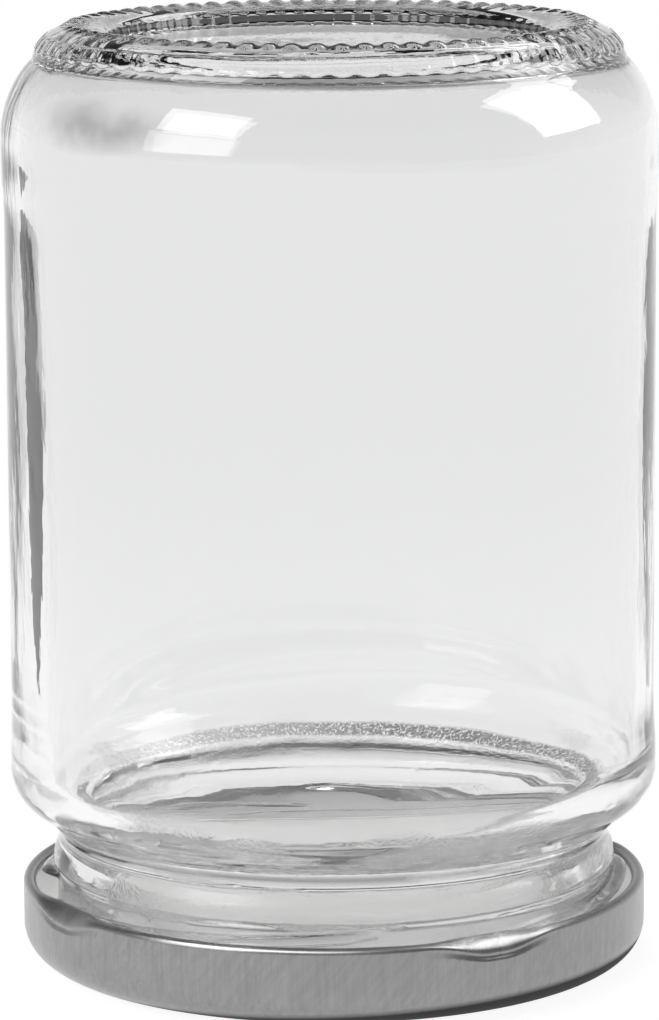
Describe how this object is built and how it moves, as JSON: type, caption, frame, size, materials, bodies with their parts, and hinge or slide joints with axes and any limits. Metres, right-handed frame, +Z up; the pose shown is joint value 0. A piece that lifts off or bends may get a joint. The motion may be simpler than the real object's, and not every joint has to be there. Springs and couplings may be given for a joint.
{
  "type": "candle jar with twist-off lid",
  "caption": "Empty round clear glass candle jar with a knurled base ring and thread ribs, standing upside down on its silver twist-off lid.",
  "frame": {"origin": "on the jar's axis, at the plane of the lid face that the inverted jar stands on", "axes": "+Z up along the jar's axis, from the lid to the jar's base; one lug of the lid points 59.5 degrees clockwise of +X, seen from above"},
  "size_m": [0.075, 0.075, 0.1085],
  "materials": {
    "clear_glass": "clear, fire-polished, slightly wavy container glass",
    "lid_tinplate": "satin silver lacquered tinplate with fine brush lines",
    "seal_compound": "pale matt flowed-in sealing compound"
  },
  "bodies": {
    "lid": {"lid_shell": "lid_tinplate"},
    "seal": {"seal_ring": "seal_compound"},
    "jar": {"glass_jar": "clear_glass"}
  },
  "joints": [
    {"name": "unscrew", "type": "hinge", "parent": "lid", "child": "seal", "pos_m": [0, 0, 0], "axis": [0, 0, 1], "range_deg": [0, 360]},
    {"name": "rise", "type": "slide", "parent": "seal", "child": "jar", "axis": [0, 0, 1], "range_m": [0, 0.0129]}
  ],
  "couplings": [
    {"joint": "rise", "follows": "unscrew", "m_per_rad": 0.0020372}
  ]
}
